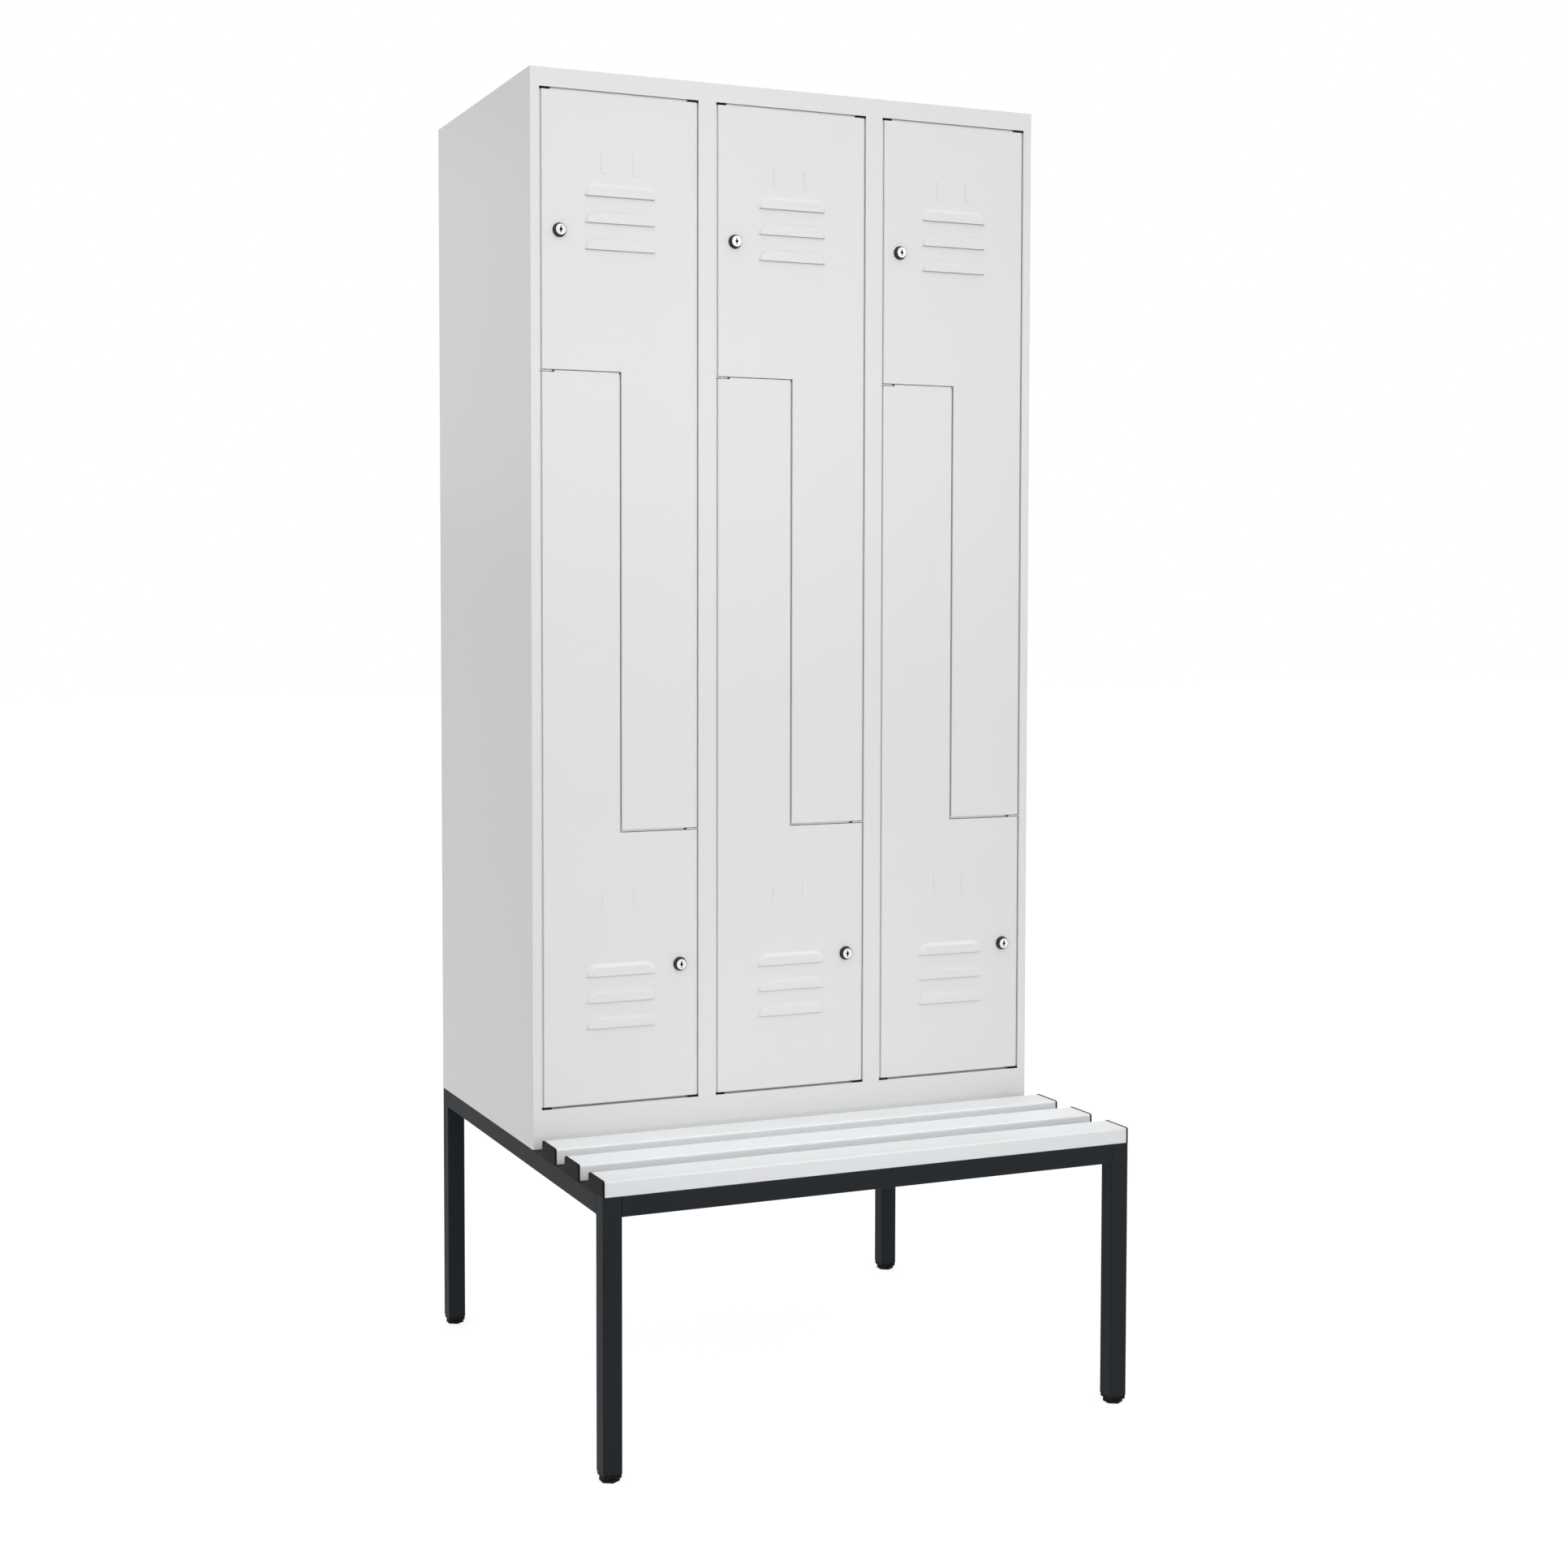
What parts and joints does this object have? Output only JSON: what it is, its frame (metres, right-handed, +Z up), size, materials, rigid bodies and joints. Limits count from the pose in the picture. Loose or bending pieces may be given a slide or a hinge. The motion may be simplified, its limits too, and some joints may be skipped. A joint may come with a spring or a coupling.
{
  "type": "z-locker with bench",
  "caption": "Free-standing steel changing-room locker with paired L-shaped doors, louvres and cylinder locks, on a square-tube bench frame with a slatted seat in front.",
  "frame": {"origin": "middle of the footprint, on the floor under the levelling feet", "axes": "+Z up, X along the width with +X to the right seen from the front, the doors and seat face -Y"},
  "size_m": [0.885, 0.8162, 2.09],
  "materials": {
    "light_grey_steel": "light grey powder coat, satin, on folded steel sheet",
    "anthracite_steel": "anthracite powder coat, fine texture, on welded square tube",
    "white_plastic": "white extruded PVC, satin",
    "black_plastic": "black moulded plastic",
    "chrome": "chrome-plated lock plug",
    "zinc_steel": "zinc-plated steel"
  },
  "bodies": {
    "locker": {"side_wall_left": "light_grey_steel", "side_wall_right": "light_grey_steel", "floor_panel": "light_grey_steel", "roof_panel": "light_grey_steel", "back_wall": "light_grey_steel", "top_rail": "light_grey_steel", "bottom_rail": "light_grey_steel", "pivot_plates": "light_grey_steel", "middle_stile_1": "light_grey_steel", "middle_stile_2": "light_grey_steel", "partition_wall_1": "light_grey_steel", "partition_wall_2": "light_grey_steel", "z_divider_1": "light_grey_steel", "z_divider_2": "light_grey_steel", "z_divider_3": "light_grey_steel", "front_rail": "anthracite_steel", "rear_rail": "anthracite_steel", "side_rail_left": "anthracite_steel", "side_rail_right": "anthracite_steel", "leg_front_left": "anthracite_steel", "leg_front_right": "anthracite_steel", "leg_rear_left": "anthracite_steel", "leg_rear_right": "anthracite_steel", "seat_slat_front": "white_plastic", "seat_slat_middle": "white_plastic", "seat_slat_rear": "white_plastic", "slat_end_caps": "black_plastic", "foot_inserts": "black_plastic", "corner_pads": "black_plastic", "coat_rails": "zinc_steel", "hinge_pins": "zinc_steel", "slat_screws": "zinc_steel"},
    "door_upper_1": {"upper_door_1": "light_grey_steel", "lock_housing_upper_1": "black_plastic"},
    "lock_upper_1": {"lock_plug_upper_1": "chrome", "lock_cam_upper_1": "zinc_steel"},
    "door_lower_1": {"lower_door_1": "light_grey_steel", "lock_housing_lower_1": "black_plastic"},
    "lock_lower_1": {"lock_plug_lower_1": "chrome", "lock_cam_lower_1": "zinc_steel"},
    "door_upper_2": {"upper_door_2": "light_grey_steel", "lock_housing_upper_2": "black_plastic"},
    "lock_upper_2": {"lock_plug_upper_2": "chrome", "lock_cam_upper_2": "zinc_steel"},
    "door_lower_2": {"lower_door_2": "light_grey_steel", "lock_housing_lower_2": "black_plastic"},
    "lock_lower_2": {"lock_plug_lower_2": "chrome", "lock_cam_lower_2": "zinc_steel"},
    "door_upper_3": {"upper_door_3": "light_grey_steel", "lock_housing_upper_3": "black_plastic"},
    "lock_upper_3": {"lock_plug_upper_3": "chrome", "lock_cam_upper_3": "zinc_steel"},
    "door_lower_3": {"lower_door_3": "light_grey_steel", "lock_housing_lower_3": "black_plastic"},
    "lock_lower_3": {"lock_plug_lower_3": "chrome", "lock_cam_lower_3": "zinc_steel"},
    "foot_front_left": {"levelling_foot_front_left": "black_plastic"},
    "foot_front_right": {"levelling_foot_front_right": "black_plastic"},
    "foot_rear_left": {"levelling_foot_rear_left": "black_plastic"},
    "foot_rear_right": {"levelling_foot_rear_right": "black_plastic"}
  },
  "joints": [
    {"name": "door_upper_1_hinge", "type": "hinge", "parent": "locker", "child": "door_upper_1", "pos_m": [-0.175, -0.087, 1.2695], "axis": [0, 0, 1], "range_deg": [0, 90]},
    {"name": "lock_upper_1_turn", "type": "hinge", "parent": "door_upper_1", "child": "lock_upper_1", "pos_m": [-0.395, -0.0925, 1.844], "axis": [0, 1, 0], "range_deg": [0, 90]},
    {"name": "door_lower_1_hinge", "type": "hinge", "parent": "locker", "child": "door_lower_1", "pos_m": [-0.415, -0.087, 1.2695], "axis": [0, 0, -1], "range_deg": [0, 90]},
    {"name": "lock_lower_1_turn", "type": "hinge", "parent": "door_lower_1", "child": "lock_lower_1", "pos_m": [-0.195, -0.0925, 0.695], "axis": [0, -1, 0], "range_deg": [0, 90]},
    {"name": "door_upper_2_hinge", "type": "hinge", "parent": "locker", "child": "door_upper_2", "pos_m": [0.12, -0.087, 1.2695], "axis": [0, 0, 1], "range_deg": [0, 90]},
    {"name": "lock_upper_2_turn", "type": "hinge", "parent": "door_upper_2", "child": "lock_upper_2", "pos_m": [-0.1, -0.0925, 1.844], "axis": [0, 1, 0], "range_deg": [0, 90]},
    {"name": "door_lower_2_hinge", "type": "hinge", "parent": "locker", "child": "door_lower_2", "pos_m": [-0.12, -0.087, 1.2695], "axis": [0, 0, -1], "range_deg": [0, 90]},
    {"name": "lock_lower_2_turn", "type": "hinge", "parent": "door_lower_2", "child": "lock_lower_2", "pos_m": [0.1, -0.0925, 0.695], "axis": [0, -1, 0], "range_deg": [0, 90]},
    {"name": "door_upper_3_hinge", "type": "hinge", "parent": "locker", "child": "door_upper_3", "pos_m": [0.415, -0.087, 1.2695], "axis": [0, 0, 1], "range_deg": [0, 90]},
    {"name": "lock_upper_3_turn", "type": "hinge", "parent": "door_upper_3", "child": "lock_upper_3", "pos_m": [0.195, -0.0925, 1.844], "axis": [0, 1, 0], "range_deg": [0, 90]},
    {"name": "door_lower_3_hinge", "type": "hinge", "parent": "locker", "child": "door_lower_3", "pos_m": [0.175, -0.087, 1.2695], "axis": [0, 0, -1], "range_deg": [0, 90]},
    {"name": "lock_lower_3_turn", "type": "hinge", "parent": "door_lower_3", "child": "lock_lower_3", "pos_m": [0.395, -0.0925, 0.695], "axis": [0, -1, 0], "range_deg": [0, 90]},
    {"name": "foot_front_left_height", "type": "slide", "parent": "locker", "child": "foot_front_left", "axis": [0, 0, -1], "range_m": [0, 0.01]},
    {"name": "foot_front_right_height", "type": "slide", "parent": "locker", "child": "foot_front_right", "axis": [0, 0, -1], "range_m": [0, 0.01]},
    {"name": "foot_rear_left_height", "type": "slide", "parent": "locker", "child": "foot_rear_left", "axis": [0, 0, -1], "range_m": [0, 0.01]},
    {"name": "foot_rear_right_height", "type": "slide", "parent": "locker", "child": "foot_rear_right", "axis": [0, 0, -1], "range_m": [0, 0.01]}
  ]
}
